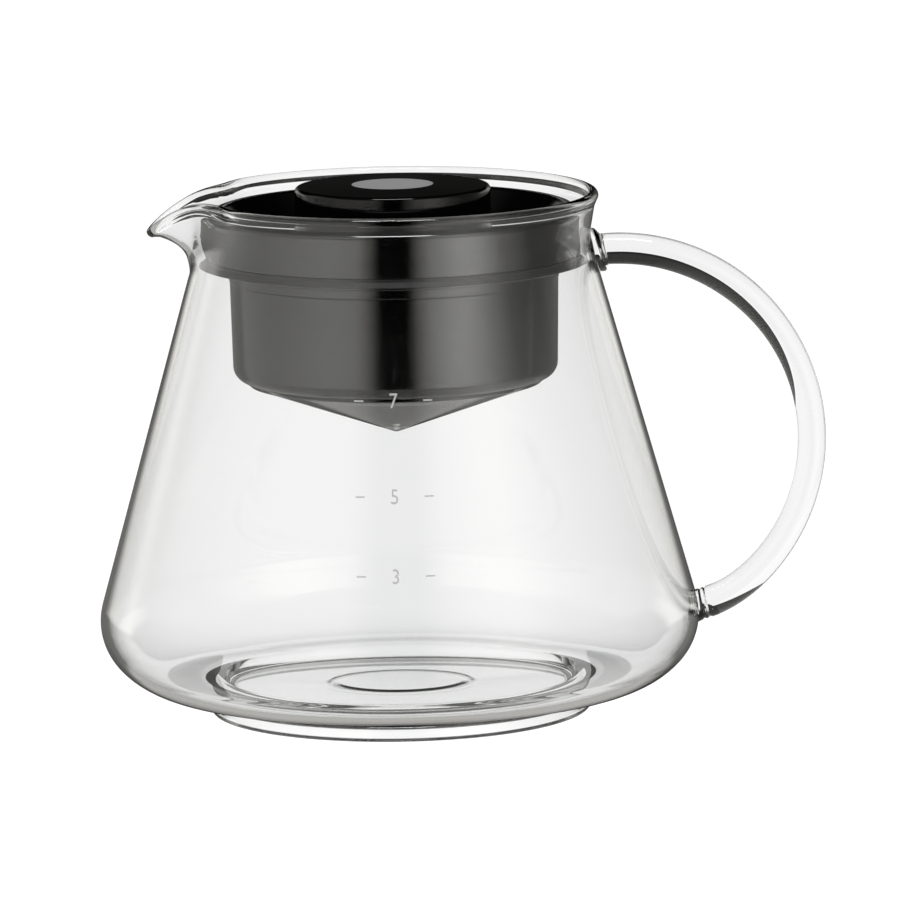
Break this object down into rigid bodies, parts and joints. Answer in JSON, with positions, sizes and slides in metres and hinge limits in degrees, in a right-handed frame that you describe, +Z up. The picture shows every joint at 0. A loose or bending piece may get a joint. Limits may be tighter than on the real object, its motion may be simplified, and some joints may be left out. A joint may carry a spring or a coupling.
{
  "type": "glass carafe with plug lid",
  "caption": "Low conical glass carafe with a pulled spout, a fused rod handle and a lift-out plug lid with a round grip, a silicone seal and a drip cone.",
  "frame": {"origin": "centre of the foot ring, in its bottom plane", "axes": "+Z up along the carafe's axis, spout towards -X, handle towards +X, printed marks towards -Y"},
  "size_m": [0.1794, 0.1476, 0.1303],
  "materials": {
    "glass": "clear polished borosilicate",
    "lid_black": "high gloss",
    "seal_silicone": "satin silicone",
    "cone_smoke": "clear smoky",
    "screw_steel": "plain"
  },
  "bodies": {
    "carafe": {"carafe_glass": "glass", "handle": "glass"},
    "lid": {"lid_top": "lid_black", "knob": "lid_black", "knob_screws": "screw_steel", "knob_washers": "screw_steel", "lid_seal": "seal_silicone", "seal_retainer": "lid_black", "drum": "lid_black", "drum_ring": "seal_silicone", "drip_cone": "cone_smoke"}
  },
  "joints": [
    {"name": "lid_lift", "type": "slide", "parent": "carafe", "child": "lid", "axis": [0, 0, 1], "range_m": [0, 0.065], "deforming": ["lid_seal"]}
  ]
}
